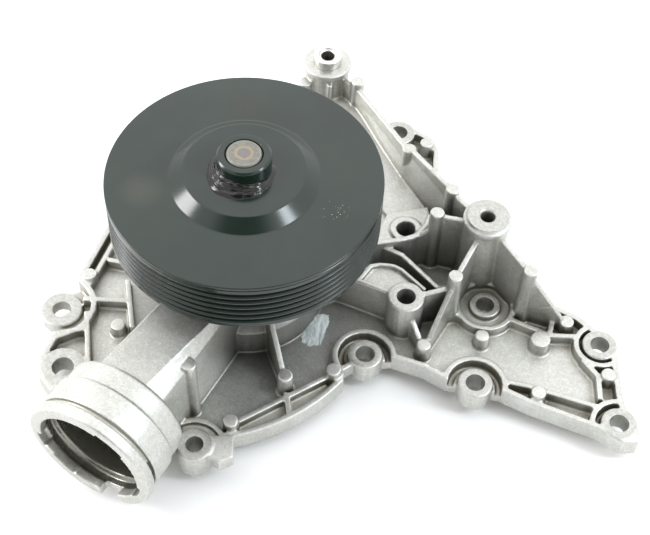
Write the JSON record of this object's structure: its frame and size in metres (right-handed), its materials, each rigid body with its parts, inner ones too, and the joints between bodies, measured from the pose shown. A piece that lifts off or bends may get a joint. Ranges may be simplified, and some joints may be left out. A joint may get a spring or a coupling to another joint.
{
  "type": "engine water pump",
  "caption": "Belt-driven engine water pump: die-cast cover housing with hose neck, tall bracket bosses and bolt ears, and a poly-V pulley on a sealed shaft with an impeller.",
  "frame": {"origin": "where the shaft axis meets the gasket plane, the face that bolts to the engine", "axes": "+Z along the shaft from the engine towards the pulley; the hose neck's mouth points towards -X and -Y, and the long wing towards +X"},
  "size_m": [0.2846, 0.2578, 0.1052],
  "materials": {
    "bearing_steel": "ground",
    "black_coat": "satin black dip coat on pressed steel",
    "black_rubber": "matt",
    "brass_case": "pressed",
    "brown_rubber": "matt",
    "cage_plastic": "moulded",
    "carbon": "lapped carbon graphite",
    "cast_aluminium": "die-cast, fine matt grain",
    "ceramic_white": "lapped ceramic",
    "grey_plastic": "moulded",
    "impeller_plastic": "glass-filled moulding",
    "sealant": "glossy cured bead",
    "spring_steel": "drawn wire",
    "zinc_steel": "turned, zinc plated"
  },
  "bodies": {
    "housing_body": {"pump_housing": "cast_aluminium", "chamber_seal": "black_rubber", "bearing_outer_race": "bearing_steel", "bearing_seal_rear": "brown_rubber", "bearing_seal_front": "brown_rubber", "seal_case": "brass_case", "seal_carbon_ring": "carbon", "seal_bellows": "black_rubber", "seal_spring": "spring_steel", "weep_plug": "grey_plastic", "boss_bush": "zinc_steel"},
    "rotor": {"pump_shaft": "bearing_steel", "pulley": "black_coat", "pulley_hub": "black_coat", "locking_bead": "sealant", "impeller": "impeller_plastic", "counter_ring_seat": "black_rubber", "counter_ring": "ceramic_white", "slinger": "zinc_steel"},
    "ball_row": {"ball_set": "bearing_steel", "ball_cage": "cage_plastic"},
    "roller_row": {"roller_set": "bearing_steel", "roller_cage": "cage_plastic"}
  },
  "joints": [
    {"name": "rotor_spin", "type": "hinge", "parent": "housing_body", "child": "rotor", "pos_m": [0, 0, 0], "axis": [0, 0, 1], "continuous": true},
    {"name": "ball_row_orbit", "type": "hinge", "parent": "housing_body", "child": "ball_row", "pos_m": [0, 0, 0], "axis": [0, 0, 1], "continuous": true},
    {"name": "roller_row_orbit", "type": "hinge", "parent": "housing_body", "child": "roller_row", "pos_m": [0, 0, 0], "axis": [0, 0, 1], "continuous": true}
  ],
  "couplings": [
    {"joint": "ball_row_orbit", "follows": "rotor_spin", "ratio": 0.36},
    {"joint": "roller_row_orbit", "follows": "rotor_spin", "ratio": 0.4}
  ]
}
